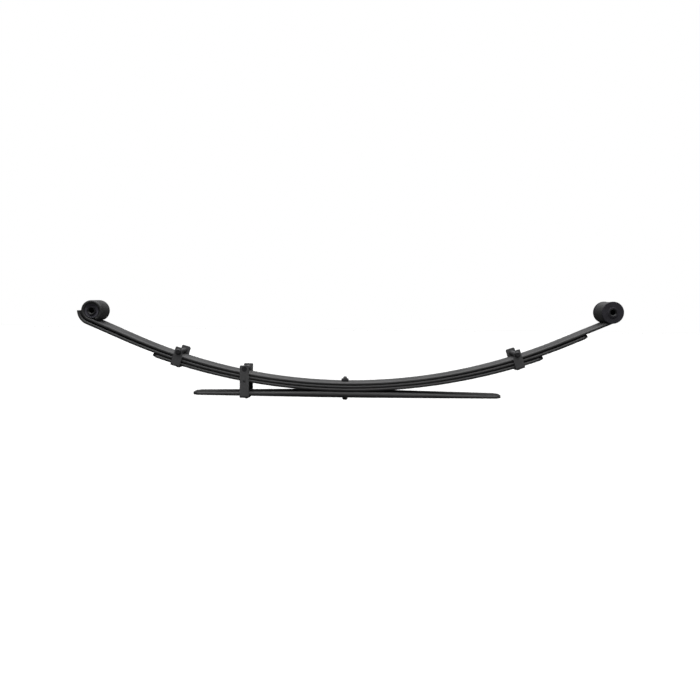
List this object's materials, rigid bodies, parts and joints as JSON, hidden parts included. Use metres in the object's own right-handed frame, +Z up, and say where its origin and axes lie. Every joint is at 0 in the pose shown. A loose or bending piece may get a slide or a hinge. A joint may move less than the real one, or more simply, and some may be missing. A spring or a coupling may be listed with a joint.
{
  "type": "leaf spring",
  "caption": "Semi-elliptic leaf spring with rolled, rubber-bushed eyes, a military wrap, rebound clamps, a centre bolt and a tapered overload leaf.",
  "frame": {"origin": "on the centre bolt's axis, in the flat seat face under the overload leaf", "axes": "+X from the front (fixed) eye to the rear (shackle) eye, +Z up from the seat face, +Y across the leaves"},
  "size_m": [1.3661, 0.085, 0.2583],
  "materials": {
    "leaf_steel": "satin black paint over shot-peened spring steel",
    "clamp_steel": "satin black paint",
    "fastener_steel": "satin black paint",
    "spacer_tube": "thinly painted steel tube",
    "bush_steel": "dark phosphated steel",
    "bush_rubber": "matt moulded black rubber",
    "pad_rubber": "matt black anti-squeak pad"
  },
  "bodies": {
    "seat": {"overload_leaf": "leaf_steel", "main_leaf_seat": "leaf_steel", "second_leaf_seat": "leaf_steel", "third_leaf_seat": "leaf_steel", "centre_bolt": "fastener_steel", "centre_bolt_nut": "fastener_steel", "overload_clamp": "clamp_steel", "overload_clamp_rivet": "clamp_steel", "overload_clamp_bolt": "fastener_steel", "overload_clamp_nut": "fastener_steel", "overload_clamp_spacer": "spacer_tube"},
    "front_inner": {"main_leaf_front_inner": "leaf_steel", "second_leaf_front_inner": "leaf_steel", "third_leaf_front_inner": "leaf_steel"},
    "front_arm": {"main_leaf_front": "leaf_steel", "second_leaf_front": "leaf_steel", "third_leaf_front": "leaf_steel", "third_leaf_front_pad": "pad_rubber", "front_clamp": "clamp_steel", "front_clamp_rivet": "clamp_steel", "front_clamp_bolt": "fastener_steel", "front_clamp_nut": "fastener_steel", "front_clamp_spacer": "spacer_tube", "front_bush_shell": "bush_steel", "front_bush_rubber": "bush_rubber"},
    "rear_inner": {"main_leaf_rear_inner": "leaf_steel", "second_leaf_rear_inner": "leaf_steel", "third_leaf_rear_inner": "leaf_steel"},
    "rear_arm": {"main_leaf_rear": "leaf_steel", "second_leaf_rear": "leaf_steel", "third_leaf_rear": "leaf_steel", "second_leaf_rear_pad": "pad_rubber", "third_leaf_rear_pad": "pad_rubber", "rear_clamp": "clamp_steel", "rear_clamp_rivet": "clamp_steel", "rear_clamp_bolt": "fastener_steel", "rear_clamp_nut": "fastener_steel", "rear_clamp_spacer": "spacer_tube", "rear_bush_near": "bush_rubber", "rear_bush_far": "bush_rubber"},
    "front_sleeve": {"front_bush_sleeve": "bush_steel"},
    "rear_sleeve": {"rear_bush_sleeve": "bush_steel"}
  },
  "joints": [
    {"name": "front_inner_flex", "type": "hinge", "parent": "seat", "child": "front_inner", "pos_m": [-0.10028, 0, 0.01912], "axis": [0, -1, 0], "range_deg": [0, 8], "stiffness_Nm_per_rad": 8400},
    {"name": "front_outer_flex", "type": "hinge", "parent": "front_inner", "child": "front_arm", "pos_m": [-0.30083, 0, 0.04679], "axis": [0, -1, 0], "range_deg": [0, 8], "stiffness_Nm_per_rad": 8400},
    {"name": "rear_inner_flex", "type": "hinge", "parent": "seat", "child": "rear_inner", "pos_m": [0.10028, 0, 0.01912], "axis": [0, 1, 0], "range_deg": [0, 8], "stiffness_Nm_per_rad": 8400},
    {"name": "rear_outer_flex", "type": "hinge", "parent": "rear_inner", "child": "rear_arm", "pos_m": [0.30083, 0, 0.04674], "axis": [0, 1, 0], "range_deg": [0, 8], "stiffness_Nm_per_rad": 8400},
    {"name": "front_bush_twist", "type": "hinge", "parent": "front_arm", "child": "front_sleeve", "pos_m": [-0.63841, 0, 0.21215], "axis": [0, 1, 0], "range_deg": [-20, 20], "stiffness_Nm_per_rad": 40},
    {"name": "rear_bush_twist", "type": "hinge", "parent": "rear_arm", "child": "rear_sleeve", "pos_m": [0.66324, 0, 0.22165], "axis": [0, 1, 0], "range_deg": [-20, 20], "stiffness_Nm_per_rad": 40}
  ],
  "couplings": [
    {"joint": "front_outer_flex", "follows": "front_inner_flex", "ratio": 1},
    {"joint": "rear_outer_flex", "follows": "rear_inner_flex", "ratio": 1}
  ]
}
